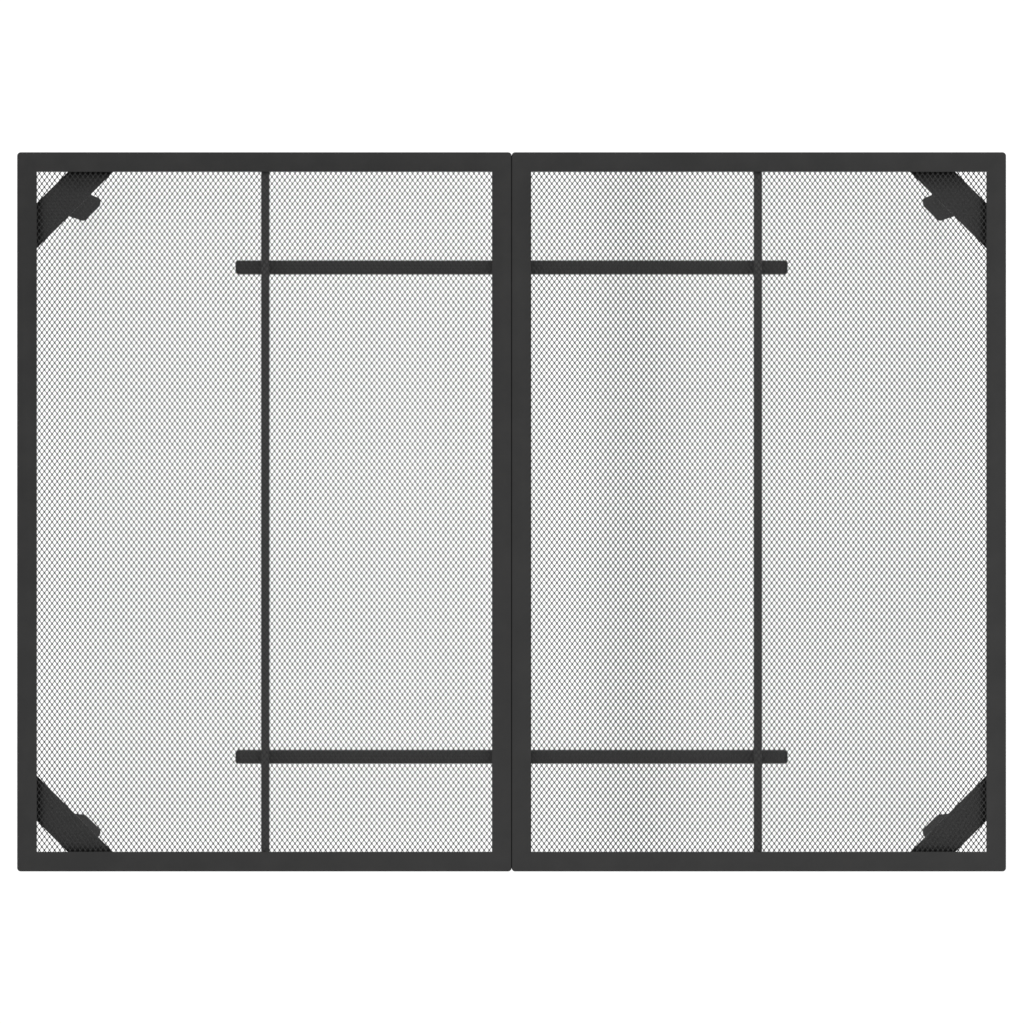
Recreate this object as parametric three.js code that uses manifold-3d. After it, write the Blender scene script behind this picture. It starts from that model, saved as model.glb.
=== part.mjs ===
// A rectangular garden table for four: two framed panels of expanded metal side by side,
// a support bar under each, two tie bars that lock the panels together, a plate across each
// outer corner, and four flat oval legs that splay outward along the diagonals.
//
// Millimetres, +Z up. The origin is on the floor under the middle of the table. X runs along
// the table, from left to right, and Y across it, from front to back.
import * as THREE from 'three';
import { mergeVertices } from 'three/addons/utils/BufferGeometryUtils.js';
import Module from 'manifold-3d';

const wasm = await Module();
wasm.setup();

// ---- Driving dimensions ----

const TABLE_LENGTH = 1100; // X
const TABLE_WIDTH = 800; // Y
const TABLE_HEIGHT = 720; // Z
const CLEARANCE = 0.3; // between two pieces that touch or are welded together
const SEAM = 0.8; // between the two panels

// The angle section that frames each panel: one leaf lies flat, the other hangs at the outside.
const LEAF = 21.8; // width of the flat leaf
const FRAME_DEPTH = 22; // height of the hanging leaf
const LEAF_WALL = 2;
const FRAME_CORNER = 4; // radius of a panel's corners, seen from above
const FRAME_BEND = 0.8; // radius of the bend along the top outer edge

const MESH_THICKNESS = 1;
const MESH_LAP = 14; // how far the mesh reaches under the flat leaf

const MID_BAR_SHIFT = 0.7; // from the middle of a panel towards the seam
const MID_BAR_WIDTH = 8.5;
const TUBE_WALL = 1.2; // of the mid bars and tie bars

const TIE_OVERHANG = 34; // from the middle of a mid bar to the end of a tie bar
const TIE_INSET = 126.3; // from the front or back edge to the middle of a tie bar
const TIE_WIDTH = 15;
const TIE_HEIGHT = 20;
const PLUG_FLANGE = 3; // the part of an end plug that shows
const PLUG_DEPTH = 14; // the part inside the tube
const PLUG_CORNER = 2.5;

const CORNER_INSET = 50.2; // from each outside edge to the middle of a corner plate
const CORNER_PLATE_WIDTH = 35.6;
const CORNER_PLATE_THICKNESS = 3;
const CORNER_PLATE_RISE = 1; // above the frame's lower edge

const LEG_LONG = 36; // flat oval section, across the diagonal
const LEG_SHORT = 15; // along the diagonal
const LEG_WALL = 1.5;
const FOOT_OUT_X = 34; // how far a foot stands outside the middle of its corner plate
const FOOT_OUT_Y = 39.8;
const LEG_PLATE_WIDTH = 33;
const LEG_PLATE_END = 9; // from the middle of a leg bolt to the end of the plate
const LEG_PLATE_THICKNESS = 3;
const LEG_PLATE_CORNER = 5;

const FOOT_THICKNESS = 4; // the part of a foot cap that shows
const FOOT_DEPTH = 18; // the part inside the leg
const FOOT_LIP = 0.3; // how far a foot cap stands out past the leg

const LEG_BOLT = { size: 6, headAcross: 10, headHeight: 4 };
const LEG_BOLT_ROOM = 2.5; // between a bolt's head and the leg
const TIE_SCREW = { size: 5, headAcross: 9, headHeight: 3, length: 30 };
const PANEL_BOLT = { size: 6, headAcross: 10, headHeight: 4, length: 14, pitch: 280 };
const PANEL_NUT = { across: 10, height: 5 };
const HOLE_PLAY = 0.3; // all round a fastener in its hole

// ---- Sizes that follow ----

const HALF_LENGTH = TABLE_LENGTH / 2;
const HALF_WIDTH = TABLE_WIDTH / 2;
const PANEL_LENGTH = HALF_LENGTH - SEAM / 2;
const PANEL_X = HALF_LENGTH - PANEL_LENGTH / 2;
const FRAME_BOTTOM = TABLE_HEIGHT - FRAME_DEPTH;
const MESH_TOP = TABLE_HEIGHT - LEAF_WALL - CLEARANCE;
const MID_BAR_TOP = MESH_TOP - MESH_THICKNESS - CLEARANCE;
const MID_BAR_X = PANEL_X - MID_BAR_SHIFT;
const TIE_LENGTH = 2 * (MID_BAR_X + TIE_OVERHANG); // over its end plugs
const TIE_Y = HALF_WIDTH - TIE_INSET;
const TIE_TOP = FRAME_BOTTOM - CLEARANCE;
const TIE_BOTTOM = TIE_TOP - TIE_HEIGHT;
const CORNER_PLATE_BOTTOM = FRAME_BOTTOM + CORNER_PLATE_RISE;
const LEG_PLATE_TOP = CORNER_PLATE_BOTTOM - CLEARANCE;
const LEG_PLATE_BOTTOM = LEG_PLATE_TOP - LEG_PLATE_THICKNESS;
const LEG_TOP = LEG_PLATE_BOTTOM - CLEARANCE;
const LEG_BOLT_PITCH = LEG_LONG + 2 * (LEG_BOLT_ROOM + hexCorner(LEG_BOLT.headAcross));
const LEG_PLATE_LENGTH = LEG_BOLT_PITCH + 2 * LEG_PLATE_END;
const CORNER_X = HALF_LENGTH - CORNER_INSET;
const CORNER_Y = HALF_WIDTH - CORNER_INSET;
const OVERSHOOT = 10; // how far a cutting shape reaches past what it cuts
const ROUND_STEPS = 6; // facets in a quarter turn of a leg or a fastener

// From the middle of a hexagon to its corners, given its size across the flats.
function hexCorner(across) {
  return across / 2 / Math.cos(Math.PI / 6);
}

// ---- Finishes ----

const finish = (color, roughness, metalness) => new THREE.MeshStandardMaterial({ color, roughness, metalness });
const POWDER_COAT = finish(0x393939, 0.55, 0.1);
const COATED_MESH = finish(0x303030, 0.55, 0.1);
const BLACK_PLASTIC = finish(0x242424, 0.6, 0);
const DARK_STEEL = finish(0x2c2c2e, 0.4, 0.8);

// ---- Solids ----

function solid(geometry) {
  const bare = geometry.clone();
  bare.deleteAttribute('normal');
  bare.deleteAttribute('uv');
  const merged = mergeVertices(bare, 1e-4);
  return new wasm.Manifold(new wasm.Mesh({
    numProp: 3,
    vertProperties: new Float32Array(merged.attributes.position.array),
    triVerts: new Uint32Array(merged.index.array),
  }));
}

function geometryOf(manifold) {
  const { vertProperties, triVerts } = manifold.getMesh();
  const geometry = new THREE.BufferGeometry();
  geometry.setAttribute('position', new THREE.BufferAttribute(new Float32Array(vertProperties), 3));
  geometry.setIndex(new THREE.BufferAttribute(new Uint32Array(triVerts), 1));
  geometry.computeVertexNormals();
  return geometry;
}

function box(low, high) {
  const size = high.map((value, axis) => value - low[axis]);
  const geometry = new THREE.BoxGeometry(...size);
  geometry.translate(...low.map((value, axis) => value + size[axis] / 2));
  return solid(geometry);
}

function roundedRectangle(width, height, radius) {
  const [x, y] = [width / 2, height / 2];
  const shape = new THREE.Shape();
  shape.moveTo(-x + radius, -y);
  shape.lineTo(x - radius, -y);
  shape.absarc(x - radius, -y + radius, radius, -Math.PI / 2, 0);
  shape.lineTo(x, y - radius);
  shape.absarc(x - radius, y - radius, radius, 0, Math.PI / 2);
  shape.lineTo(-x + radius, y);
  shape.absarc(-x + radius, y - radius, radius, Math.PI / 2, Math.PI);
  shape.lineTo(-x, -y + radius);
  shape.absarc(-x + radius, -y + radius, radius, Math.PI, 1.5 * Math.PI);
  return shape;
}

function polygon(points) {
  return new THREE.Shape(points.map(([x, y]) => new THREE.Vector2(x, y)));
}

// A prism on a flat outline, from one height to another.
function prism(shape, bottom, top, curveSegments = ROUND_STEPS) {
  const geometry = new THREE.ExtrudeGeometry(shape, { depth: top - bottom, bevelEnabled: false, curveSegments });
  geometry.translate(0, 0, bottom);
  return solid(geometry);
}

function cylinder(x, y, radius, bottom, top, sides = 4 * ROUND_STEPS) {
  const geometry = new THREE.CylinderGeometry(radius, radius, top - bottom, sides);
  geometry.rotateX(Math.PI / 2);
  geometry.translate(x, y, (bottom + top) / 2);
  return solid(geometry);
}

// A rectangular tube along X or Y, open at both ends.
function rectangularTube(axis, low, high) {
  const innerLow = low.map((value, i) => (i === axis ? value - OVERSHOOT : value + TUBE_WALL));
  const innerHigh = high.map((value, i) => (i === axis ? value + OVERSHOOT : value - TUBE_WALL));
  return box(low, high).subtract(box(innerLow, innerHigh));
}

const table = new THREE.Group();

function addPiece(name, manifold, material, parent = table) {
  const mesh = new THREE.Mesh(geometryOf(manifold), material);
  mesh.name = name;
  parent.add(mesh);
}

const SIDES = [['left', -1], ['right', 1]];
const ENDS = [['back', 1], ['front', -1]];
const CORNERS = ENDS.flatMap(([end, y]) => SIDES.map(([side, x]) => ({ name: `${end}_${side}`, x, y })));

// ---- Top panels ----

// A panel's frame as it is once welded: the flat leaf all round, and the hanging leaf outside it.
function panelFrame(length) {
  const outline = roundedRectangle(length - 2 * FRAME_BEND, TABLE_WIDTH - 2 * FRAME_BEND, FRAME_CORNER - FRAME_BEND);
  const shell = new THREE.ExtrudeGeometry(outline, {
    depth: FRAME_DEPTH,
    bevelThickness: FRAME_BEND,
    bevelSize: FRAME_BEND,
    bevelSegments: 3,
    curveSegments: 4,
  });
  shell.translate(0, 0, FRAME_BOTTOM - FRAME_BEND);
  const half = length / 2;
  const hollow = prism(
    roundedRectangle(length - 2 * LEAF_WALL, TABLE_WIDTH - 2 * LEAF_WALL, FRAME_CORNER - LEAF_WALL),
    FRAME_BOTTOM - OVERSHOOT, TABLE_HEIGHT - LEAF_WALL, 4,
  );
  const opening = box(
    [-half + LEAF, -HALF_WIDTH + LEAF, FRAME_BOTTOM],
    [half - LEAF, HALF_WIDTH - LEAF, TABLE_HEIGHT + OVERSHOOT],
  );
  const belowFrame = box(
    [-length, -TABLE_WIDTH, FRAME_BOTTOM - 2 * OVERSHOOT],
    [length, TABLE_WIDTH, FRAME_BOTTOM],
  );
  return solid(shell).subtract(hollow).subtract(opening).subtract(belowFrame);
}

// The wedge that a mitred piece of the frame fills, for the piece on the +Y side of a panel
// of the given length and width.
function mitreWedge(length, width) {
  const play = CLEARANCE * Math.SQRT1_2;
  const [x, y] = [length / 2, width / 2];
  const inward = 2 * LEAF;
  return polygon([
    [-x - OVERSHOOT + play, y + OVERSHOOT],
    [-x + inward + play, y - inward],
    [x - inward - play, y - inward],
    [x + OVERSHOOT - play, y + OVERSHOOT],
  ]);
}

function addPanelFrame(panel, side, length) {
  const frame = panelFrame(length);
  const bottom = FRAME_BOTTOM - OVERSHOOT;
  const top = TABLE_HEIGHT + OVERSHOOT;
  const railWedge = prism(mitreWedge(length, TABLE_WIDTH), bottom, top);
  const stileWedge = prism(mitreWedge(TABLE_WIDTH, length), bottom, top);
  const outward = side === 'left' ? 90 : -90; // turns +Y towards the table's end
  addPiece(`${side}_panel_back_rail`, frame.intersect(railWedge), POWDER_COAT, panel);
  addPiece(`${side}_panel_front_rail`, frame.intersect(railWedge.rotate([0, 0, 180])), POWDER_COAT, panel);
  addPiece(`${side}_panel_outer_stile`, frame.intersect(stileWedge.rotate([0, 0, outward])), POWDER_COAT, panel);
  const holes = ENDS.map(([, y]) => panelBoltHole(y));
  const inner = frame.intersect(stileWedge.rotate([0, 0, -outward]));
  const offset = panel.position.x;
  const drilled = holes.reduce((piece, hole) => piece.subtract(hole.translate([-offset, 0, 0])), inner);
  addPiece(`${side}_panel_inner_stile`, drilled, POWDER_COAT, panel);
}

const PANEL_BOLT_Z = FRAME_BOTTOM + (FRAME_DEPTH - LEAF_WALL) / 2;

function panelBoltHole(y) {
  const reach = SEAM / 2 + LEAF_WALL + OVERSHOOT;
  return cylinder(0, 0, PANEL_BOLT.size / 2 + HOLE_PLAY, -reach, reach)
    .rotate([0, 90, 0])
    .translate([0, y * PANEL_BOLT.pitch / 2, PANEL_BOLT_Z]);
}

function addPanel(side, x) {
  const panel = new THREE.Group();
  panel.position.x = x * PANEL_X;
  table.add(panel);
  addPanelFrame(panel, side, PANEL_LENGTH);
  const meshX = PANEL_LENGTH / 2 - LEAF + MESH_LAP;
  const meshY = HALF_WIDTH - LEAF + MESH_LAP;
  addPiece(
    `${side}_panel_mesh`,
    box([-meshX, -meshY, MESH_TOP - MESH_THICKNESS], [meshX, meshY, MESH_TOP]),
    COATED_MESH, panel,
  );
}

// ---- Bars under the panels ----

function addMidBar(side, x) {
  const [centre, half] = [x * MID_BAR_X, MID_BAR_WIDTH / 2];
  const end = HALF_WIDTH - LEAF_WALL - CLEARANCE;
  const tube = rectangularTube(1, [centre - half, -end, FRAME_BOTTOM], [centre + half, end, MID_BAR_TOP]);
  const screwed = ENDS.reduce((bar, [, y]) => bar.subtract(tieScrewHole(x, y)), tube);
  addPiece(`${side}_panel_mid_bar`, screwed, POWDER_COAT);
}

// Through the tie bar and the lower wall of the mid bar.
function tieScrewHole(x, y) {
  const top = FRAME_BOTTOM + 2 * TUBE_WALL;
  return cylinder(x * MID_BAR_X, y * TIE_Y, TIE_SCREW.size / 2 + HOLE_PLAY, TIE_BOTTOM - OVERSHOOT, top);
}

function addTieBar(end, y) {
  const half = TIE_LENGTH / 2 - PLUG_FLANGE - CLEARANCE;
  const [low, high] = [y * TIE_Y - TIE_WIDTH / 2, y * TIE_Y + TIE_WIDTH / 2];
  const tube = rectangularTube(0, [-half, low, TIE_BOTTOM], [half, high, TIE_TOP]);
  const screwed = SIDES.reduce((bar, [, x]) => bar.subtract(tieScrewHole(x, y)), tube);
  addPiece(`${end}_tie_bar`, screwed, POWDER_COAT);
  for (const [side, x] of SIDES) {
    addPiece(`${end}_tie_plug_${side}`, tiePlug(x, y), BLACK_PLASTIC);
  }
}

// A plug with a rounded face, and a body that sits inside the tube.
function tiePlug(x, y) {
  const inside = CLEARANCE + TUBE_WALL;
  const face = new THREE.ExtrudeGeometry(
    roundedRectangle(TIE_WIDTH - 2 * PLUG_CORNER, TIE_HEIGHT - 2 * PLUG_CORNER, 0.01),
    { depth: 2 * PLUG_CORNER, bevelThickness: PLUG_CORNER, bevelSize: PLUG_CORNER, bevelSegments: 4, curveSegments: 1 },
  );
  const dome = solid(face).translate([0, 0, PLUG_FLANGE - 3 * PLUG_CORNER])
    .intersect(box([-TIE_WIDTH, -TIE_HEIGHT, 0], [TIE_WIDTH, TIE_HEIGHT, PLUG_FLANGE]));
  const body = box(
    [-TIE_WIDTH / 2 + inside, -TIE_HEIGHT / 2 + inside, -PLUG_DEPTH],
    [TIE_WIDTH / 2 - inside, TIE_HEIGHT / 2 - inside, PLUG_FLANGE / 2],
  );
  return dome.add(body)
    .rotate([90, 0, 90])
    .translate([TIE_LENGTH / 2 - PLUG_FLANGE, 0, 0])
    .rotate([0, 0, x > 0 ? 0 : 180])
    .translate([0, y * TIE_Y, (TIE_TOP + TIE_BOTTOM) / 2]);
}

// ---- Corner plates and legs ----

// Corner pieces are drawn for the corner at +X, +Y, with +X turned outward along the diagonal,
// and then placed at each corner.
const atBackRight = (piece) => piece.rotate([0, 0, 45]).translate([CORNER_X, CORNER_Y, 0]);

function mirrorTo(corner, piece) {
  const acrossX = corner.x < 0 ? piece.mirror([1, 0, 0]) : piece;
  return corner.y < 0 ? acrossX.mirror([0, 1, 0]) : acrossX;
}

function legBoltHoles(bottom, top) {
  const radius = LEG_BOLT.size / 2 + HOLE_PLAY;
  return [-1, 1].map((way) => cylinder(0, way * LEG_BOLT_PITCH / 2, radius, bottom, top));
}

function cornerPlate() {
  const top = CORNER_PLATE_BOTTOM + CORNER_PLATE_THICKNESS;
  const reach = TABLE_WIDTH;
  const strip = box(
    [-CORNER_PLATE_WIDTH / 2, -reach, CORNER_PLATE_BOTTOM],
    [CORNER_PLATE_WIDTH / 2, reach, top],
  );
  const drilled = legBoltHoles(CORNER_PLATE_BOTTOM - OVERSHOOT, top + OVERSHOOT)
    .reduce((plate, hole) => plate.subtract(hole), strip);
  const gap = LEAF_WALL + CLEARANCE;
  const insideFrame = box(
    [0, 0, CORNER_PLATE_BOTTOM - OVERSHOOT],
    [HALF_LENGTH - gap, HALF_WIDTH - gap, TABLE_HEIGHT],
  );
  return atBackRight(drilled).intersect(insideFrame);
}

function legPlate() {
  const outline = roundedRectangle(LEG_PLATE_WIDTH, LEG_PLATE_LENGTH, LEG_PLATE_CORNER);
  const drilled = legBoltHoles(LEG_PLATE_BOTTOM - OVERSHOOT, LEG_PLATE_TOP + OVERSHOOT)
    .reduce((plate, hole) => plate.subtract(hole), prism(outline, LEG_PLATE_BOTTOM, LEG_PLATE_TOP));
  return atBackRight(drilled);
}

// A flat oval bar along the leg's sloping axis, cut level at both ends.
function legSection(long, short, bottom, top) {
  const outward = (FOOT_OUT_X + FOOT_OUT_Y) / Math.SQRT2;
  const across = (FOOT_OUT_Y - FOOT_OUT_X) / Math.SQRT2;
  const angle = (run) => Math.atan2(run, LEG_TOP) * 180 / Math.PI;
  const outline = roundedRectangle(short, long, short / 2);
  const bar = prism(outline, -LEG_TOP - 2 * OVERSHOOT, 2 * OVERSHOOT)
    .rotate([angle(across), -angle(outward), 0])
    .translate([0, 0, LEG_TOP]);
  const slab = box([-TABLE_WIDTH, -TABLE_WIDTH, bottom], [TABLE_WIDTH, TABLE_WIDTH, top]);
  return atBackRight(bar.intersect(slab));
}

function leg() {
  const bottom = FOOT_THICKNESS + CLEARANCE;
  const bore = legSection(LEG_LONG - 2 * LEG_WALL, LEG_SHORT - 2 * LEG_WALL, bottom - OVERSHOOT, LEG_TOP + OVERSHOOT);
  return legSection(LEG_LONG, LEG_SHORT, bottom, LEG_TOP).subtract(bore);
}

function footCap() {
  const inside = LEG_WALL + CLEARANCE;
  const sole = legSection(LEG_LONG + 2 * FOOT_LIP, LEG_SHORT + 2 * FOOT_LIP, 0, FOOT_THICKNESS);
  const plug = legSection(
    LEG_LONG - 2 * inside, LEG_SHORT - 2 * inside, FOOT_THICKNESS / 2, FOOT_THICKNESS + FOOT_DEPTH,
  );
  return sole.add(plug);
}

// ---- Fasteners ----

// Standing on its head at z = 0, with the shank up. A hexagonal head has 6 sides.
function bolt({ size, headAcross, headHeight }, length, sides) {
  const corner = sides === 6 ? hexCorner(headAcross) : headAcross / 2;
  const head = cylinder(0, 0, corner, -headHeight, 0, sides);
  return head.add(cylinder(0, 0, size / 2, -headHeight / 2, length));
}

function addLegBolts(corner) {
  const headTop = LEG_PLATE_BOTTOM - CLEARANCE;
  const length = CORNER_PLATE_BOTTOM + CORNER_PLATE_THICKNESS - CLEARANCE - headTop;
  [-1, 1].forEach((way, index) => {
    const piece = atBackRight(bolt(LEG_BOLT, length, 6).translate([0, way * LEG_BOLT_PITCH / 2, headTop]));
    addPiece(`leg_bolt_${corner.name}_${index + 1}`, mirrorTo(corner, piece), DARK_STEEL);
  });
}

function addTieScrew(corner) {
  const piece = bolt(TIE_SCREW, TIE_SCREW.length, 4 * ROUND_STEPS)
    .translate([corner.x * MID_BAR_X, corner.y * TIE_Y, TIE_BOTTOM - CLEARANCE]);
  addPiece(`tie_screw_${corner.name}`, piece, DARK_STEEL);
}

function addPanelBolt(end, y) {
  const seat = SEAM / 2 + LEAF_WALL + CLEARANCE; // from the seam to the head or the nut
  const along = (piece, x) => piece.rotate([0, 90, 0]).translate([x, y * PANEL_BOLT.pitch / 2, PANEL_BOLT_Z]);
  addPiece(`panel_bolt_${end}`, along(bolt(PANEL_BOLT, PANEL_BOLT.length, 6), -seat), DARK_STEEL);
  const nut = cylinder(0, 0, hexCorner(PANEL_NUT.across), 0, PANEL_NUT.height, 6)
    .subtract(cylinder(0, 0, PANEL_BOLT.size / 2 + HOLE_PLAY, -OVERSHOOT, OVERSHOOT));
  addPiece(`panel_nut_${end}`, along(nut, seat), DARK_STEEL);
}

// ---- Assembly ----

for (const [side, x] of SIDES) {
  addPanel(side, x);
  addMidBar(side, x);
}
for (const [end, y] of ENDS) {
  addTieBar(end, y);
  addPanelBolt(end, y);
}
for (const corner of CORNERS) {
  addPiece(`corner_plate_${corner.name}`, mirrorTo(corner, cornerPlate()), POWDER_COAT);
  addPiece(`leg_plate_${corner.name}`, mirrorTo(corner, legPlate()), POWDER_COAT);
  addPiece(`leg_${corner.name}`, mirrorTo(corner, leg()), POWDER_COAT);
  addPiece(`foot_cap_${corner.name}`, mirrorTo(corner, footCap()), BLACK_PLASTIC);
  addLegBolts(corner);
  addTieScrew(corner);
}

export default table;
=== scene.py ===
"""A garden table of powder-coated steel: two framed panels of expanded metal side by side, a bar
under each, two tie bars that lock the panels together, and four splayed flat oval legs.

Metres, +Z up. The origin is on the floor under the middle of the table, X runs along it and +Y is
its back. Corner pieces are modelled once, about the middle of a corner plate with +X turned outward
along the diagonal, and copied to the four corners.
"""

import math
from contextlib import contextmanager

import bmesh
import bpy
from mathutils import Matrix, Vector

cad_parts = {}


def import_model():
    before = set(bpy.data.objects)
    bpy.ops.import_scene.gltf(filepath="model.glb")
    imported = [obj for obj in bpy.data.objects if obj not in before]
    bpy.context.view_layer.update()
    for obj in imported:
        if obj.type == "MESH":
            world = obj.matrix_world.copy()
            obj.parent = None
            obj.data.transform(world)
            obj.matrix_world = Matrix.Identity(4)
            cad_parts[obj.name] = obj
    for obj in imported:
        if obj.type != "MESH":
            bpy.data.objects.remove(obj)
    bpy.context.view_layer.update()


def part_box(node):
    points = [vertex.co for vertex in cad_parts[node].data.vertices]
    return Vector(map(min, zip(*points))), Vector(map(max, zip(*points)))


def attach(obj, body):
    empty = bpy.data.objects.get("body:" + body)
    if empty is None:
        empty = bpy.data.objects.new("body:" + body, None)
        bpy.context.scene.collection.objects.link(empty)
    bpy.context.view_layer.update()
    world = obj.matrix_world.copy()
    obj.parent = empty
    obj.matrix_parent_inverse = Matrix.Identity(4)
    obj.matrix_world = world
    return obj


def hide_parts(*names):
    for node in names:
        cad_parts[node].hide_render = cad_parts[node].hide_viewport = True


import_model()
bpy.ops.object.select_all(action="DESELECT")

MM = 0.001
SIDES = {"left": -1, "right": 1}
ENDS = {"back": 1, "front": -1}
CORNERS = {f"{end}_{side}": (x, y) for end, y in ENDS.items() for side, x in SIDES.items()}
PANEL_BARS = ("back_rail", "front_rail", "outer_stile", "inner_stile")

# ---- Driving sizes that the frame's boxes don't give ----

LEAF_WALL = 2 * MM
FRAME_CORNER = 4 * MM
FRAME_BEND = 0.8 * MM
FRAME_WELD = 1.9 * MM  # radius, as those of the other beads
SPOT_WELDS = (9, 13)  # along a rail, and along a stile with both corners
SPOT_WELD = (2.4 * MM, 1.6 * MM)  # radius and height
TUBE_WALL = 1.2 * MM
MID_BAR_CORNER = 0.9 * MM
MID_BAR_WELD = 1.3 * MM
TIE_BAR_CORNER = 1.8 * MM
PLUG_FLANGE = 3 * MM
PLUG_CORNER = 2.4 * MM
PLUG_PLAY = 0.3 * MM

# The expanded metal repeats along X and Y. Its strands taper out of the bonds in which they meet.
MESH_STEP = (5.69 * MM, 7.53 * MM)
MESH_COUNT = (93, 103)
MESH_BLOCKS = 4
BOND = (1.36 * MM, 1.76 * MM)
STRAND = 0.54 * MM  # width at its middle

# The right sheet's strands are this much wider, and more so along a band up its left half.
RIGHT_SHEET_GAIN = 0.05 * MM
HEAVY_BAND_GAIN = 0.2 * MM
HEAVY_BAND_X = 137 * MM
HEAVY_BAND_SPREAD = 34 * MM

CORNER_PLATE_WIDTH = 35.6 * MM
CORNER_PLATE_WELD = 1.7 * MM
LEG_PLATE = (33 * MM, 70.5 * MM)
LEG_PLATE_CORNER = 5 * MM
LEG_LONG = 36 * MM
LEG_SHORT = 15 * MM
LEG_WALL = 1.5 * MM
LEG_WELD = 2 * MM
FOOT_LIP = 0.3 * MM
FOOT_PLAY = 0.4 * MM
FOOT_DEPTH = 14 * MM  # of the plug inside the leg
FOOT_RECESS = (3 * MM, 0.6 * MM)  # width of the rim round it, and depth

HEX_HEAD = (10 * MM, 4 * MM)  # across the flats, and height
SCREW_HEAD = (4.5 * MM, 3 * MM)  # radius and height
SOCKET = (1.8 * MM, 1.7 * MM)  # corner radius and depth
SHANK_RADIUS = 2.9 * MM
THREAD_PITCH = 1 * MM
THREAD_ROOT = 0.86  # share of the shank's radius between two ridges
PLAIN_SHANK = 3.6 * MM  # below a hex bolt's thread
SCREW_PLAIN_SHANK = 18 * MM

SOFT_EDGE = 0.35 * MM  # what the coating rounds off every cut edge to
SHARP = math.radians(50)  # a bend that counts as an edge
SMOOTH = math.radians(35)  # a bend that counts as a curve

# ---- Places from the frame ----


def middle(name):
    low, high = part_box(name)
    return (low + high) / 2


def size_of(name):
    low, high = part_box(name)
    return high - low


LEAF = size_of("left_panel_inner_stile").x
MESH_THICKNESS = size_of("left_panel_mesh").z
TOP_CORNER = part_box("right_panel_back_rail")[1]  # the back right corner of the table top
CORNER = middle("leg_plate_back_right")
PLATE_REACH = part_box("corner_plate_back_right")[1].x - CORNER.x  # from its middle to its cut ends
LEG_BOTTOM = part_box("leg_back_right")[0].z
LEG_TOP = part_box("leg_back_right")[1].z
FOOT = middle("foot_cap_back_right") - CORNER
SPLAY = (FOOT.x + FOOT.y) / math.sqrt(2)  # how far a leg leans out along the diagonal
DRIFT = (FOOT.y - FOOT.x) / math.sqrt(2)  # and along the corner plate, to the long side
BOLT_REACH = (middle("leg_bolt_back_right_1") - middle("leg_bolt_back_right_2")).length / 2


# ---- Node groups ----


def feed(tree, socket, value):
    """Gives an input its value, or the output that it reads."""
    if isinstance(value, bpy.types.NodeSocket):
        tree.links.new(value, socket)
    else:
        socket.default_value = value


def add_node(tree, kind, inputs=(), **settings):
    """A shader node with some of its inputs fed."""
    made = tree.nodes.new(f"ShaderNode{kind}")
    for key, value in settings.items():
        setattr(made, key, value)
    for key, value in dict(inputs).items():
        feed(tree, made.inputs[key], value)
    return made


def new_group(name, inputs, outputs):
    """An empty node group with named inputs and outputs, and its two end nodes."""
    tree = bpy.data.node_groups.new(name, "ShaderNodeTree")
    for label, kind, value in inputs:
        socket = tree.interface.new_socket(label, in_out="INPUT", socket_type=f"NodeSocket{kind}")
        if value is not None:
            socket.default_value = value
    for label, kind in outputs:
        tree.interface.new_socket(label, in_out="OUTPUT", socket_type=f"NodeSocket{kind}")
    return tree, tree.nodes.new("NodeGroupInput"), tree.nodes.new("NodeGroupOutput")


def noise(tree, vector, scale, detail=2.0, roughness=0.5):
    made = add_node(
        tree, "TexNoise",
        {"Vector": vector, "Scale": scale, "Detail": detail, "Roughness": roughness},
    )
    return made.outputs["Fac"]


def spread(tree, value, low, high, to_low, to_high):
    """The value, from low..high to to_low..to_high, and no further."""
    made = add_node(
        tree, "MapRange",
        {"Value": value, "From Min": low, "From Max": high, "To Min": to_low, "To Max": to_high},
    )
    return made.outputs["Result"]


def math_node(tree, operation, first, second):
    made = add_node(tree, "Math", {0: first, 1: second}, operation=operation)
    return made.outputs["Value"]


def coating_group():
    """The skin of a baked powder coat: a height of low rounded bumps, a soft mottle, and a painted light
    gradient.

    The tone is 0 to 1. It rises towards the front right as painted light, lighter where more light falls.
    """
    tree, start, end = new_group(
        "powder_skin_and_painted_light",
        [("Vector", "Vector", None), ("Grains Per Metre", "Float", 900.0)],
        [("Height", "Float"), ("Mottle And Painted Light", "Float"), ("Gloss Patches", "Float")],
    )
    vector = start.outputs["Vector"]
    fine = noise(tree, vector, start.outputs["Grains Per Metre"], detail=1.0)
    coarse_scale = math_node(tree, "MULTIPLY", start.outputs["Grains Per Metre"], 0.28)
    waves = noise(tree, vector, coarse_scale, detail=2.0)
    height = math_node(tree, "ADD", math_node(tree, "MULTIPLY", fine, 0.6), waves)
    tree.links.new(height, end.inputs["Height"])
    clouds = noise(tree, vector, 14.0, detail=4.0, roughness=0.6)
    mottle = math_node(tree, "MULTIPLY", spread(tree, clouds, 0.3, 0.7, 0.0, 1.0), 0.25)
    # Painted light: the tone rises towards the front right, lighter where more light falls.
    place = add_node(tree, "SeparateXYZ", {"Vector": vector})
    frontward = math_node(tree, "MULTIPLY", place.outputs["Y"], 1.5)
    toward_front_right = math_node(tree, "SUBTRACT", place.outputs["X"], frontward)
    painted_light = spread(tree, toward_front_right, -0.95, 0.75, 0.0, 0.75)
    tree.links.new(math_node(tree, "ADD", mottle, painted_light), end.inputs["Mottle And Painted Light"])
    patches = noise(tree, vector, 55.0, detail=3.0)
    tree.links.new(spread(tree, patches, 0.35, 0.65, 0.0, 1.0), end.inputs["Gloss Patches"])
    return tree


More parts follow.
